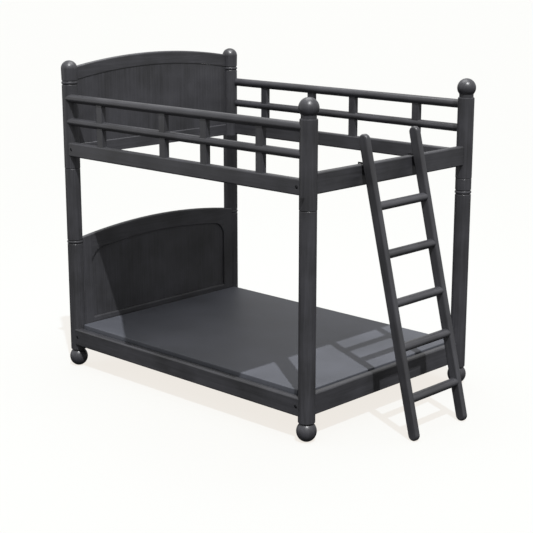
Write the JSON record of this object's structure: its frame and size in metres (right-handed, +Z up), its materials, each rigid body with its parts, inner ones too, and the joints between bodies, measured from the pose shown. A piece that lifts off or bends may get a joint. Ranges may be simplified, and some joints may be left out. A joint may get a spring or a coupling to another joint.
{
  "type": "bunk bed",
  "caption": "Charcoal wooden bunk bed with turned posts, arched headboards, side guards on the upper bunk, a low platform below and a leaning ladder at the foot.",
  "frame": {"origin": "centre of the object's footprint (bounding box), on the floor", "axes": "+Z up; +X from the head to the foot, where the ladder leans; -Y is the near side"},
  "size_m": [2.4888, 1.4994, 1.9645],
  "materials": {
    "charcoal_paint": "satin charcoal paint on wood",
    "deck_paint": "satin slate grey paint on a board",
    "blackened_steel": "blackened steel"
  },
  "bodies": {
    "lower_bunk": {"ball_foot_foot_far": "charcoal_paint", "ball_foot_foot_near": "charcoal_paint", "ball_foot_head_far": "charcoal_paint", "ball_foot_head_near": "charcoal_paint", "deck_cleat_far": "charcoal_paint", "deck_cleat_near": "charcoal_paint", "deck_lower": "deck_paint", "headboard_lower_bottom_rail": "charcoal_paint", "headboard_lower_panel": "charcoal_paint", "headboard_lower_stile_far": "charcoal_paint", "headboard_lower_stile_near": "charcoal_paint", "headboard_lower_top_rail": "charcoal_paint", "join_pin_foot_far": "blackened_steel", "join_pin_foot_near": "blackened_steel", "join_pin_head_far": "blackened_steel", "join_pin_head_near": "blackened_steel", "lower_end_rail": "charcoal_paint", "lower_side_rail_far": "charcoal_paint", "lower_side_rail_near": "charcoal_paint", "post_lower_foot_far": "charcoal_paint", "post_lower_foot_near": "charcoal_paint", "post_lower_head_far": "charcoal_paint", "post_lower_head_near": "charcoal_paint"},
    "upper_bunk": {"finial_foot_far": "charcoal_paint", "finial_foot_near": "charcoal_paint", "guard_far_baluster_1": "charcoal_paint", "guard_far_baluster_2": "charcoal_paint", "guard_far_baluster_3": "charcoal_paint", "guard_far_baluster_4": "charcoal_paint", "guard_far_mid_rail": "charcoal_paint", "guard_far_top_rail": "charcoal_paint", "guard_near_baluster_1": "charcoal_paint", "guard_near_baluster_2": "charcoal_paint", "guard_near_baluster_3": "charcoal_paint", "guard_near_baluster_4": "charcoal_paint", "guard_near_mid_rail": "charcoal_paint", "guard_near_top_rail": "charcoal_paint", "headboard_upper_bottom_rail": "charcoal_paint", "headboard_upper_panel": "charcoal_paint", "headboard_upper_top_rail": "charcoal_paint", "post_upper_foot_far": "charcoal_paint", "post_upper_foot_near": "charcoal_paint", "post_upper_head_far": "charcoal_paint", "post_upper_head_near": "charcoal_paint", "upper_end_rail": "charcoal_paint", "upper_side_rail_far": "charcoal_paint", "upper_side_rail_near": "charcoal_paint"},
    "ladder": {"ladder_hook_far": "blackened_steel", "ladder_hook_near": "blackened_steel", "ladder_rail_far": "charcoal_paint", "ladder_rail_near": "charcoal_paint", "ladder_rung_1": "charcoal_paint", "ladder_rung_2": "charcoal_paint", "ladder_rung_3": "charcoal_paint", "ladder_rung_4": "charcoal_paint", "ladder_rung_5": "charcoal_paint"}
  },
  "joints": [
    {"name": "upper_bunk_lift", "type": "slide", "parent": "lower_bunk", "child": "upper_bunk", "axis": [0, 0, 1], "range_m": [0, 0.15]},
    {"name": "ladder_lift", "type": "slide", "parent": "upper_bunk", "child": "ladder", "axis": [0, 0, 1], "range_m": [0, 0.08]}
  ]
}
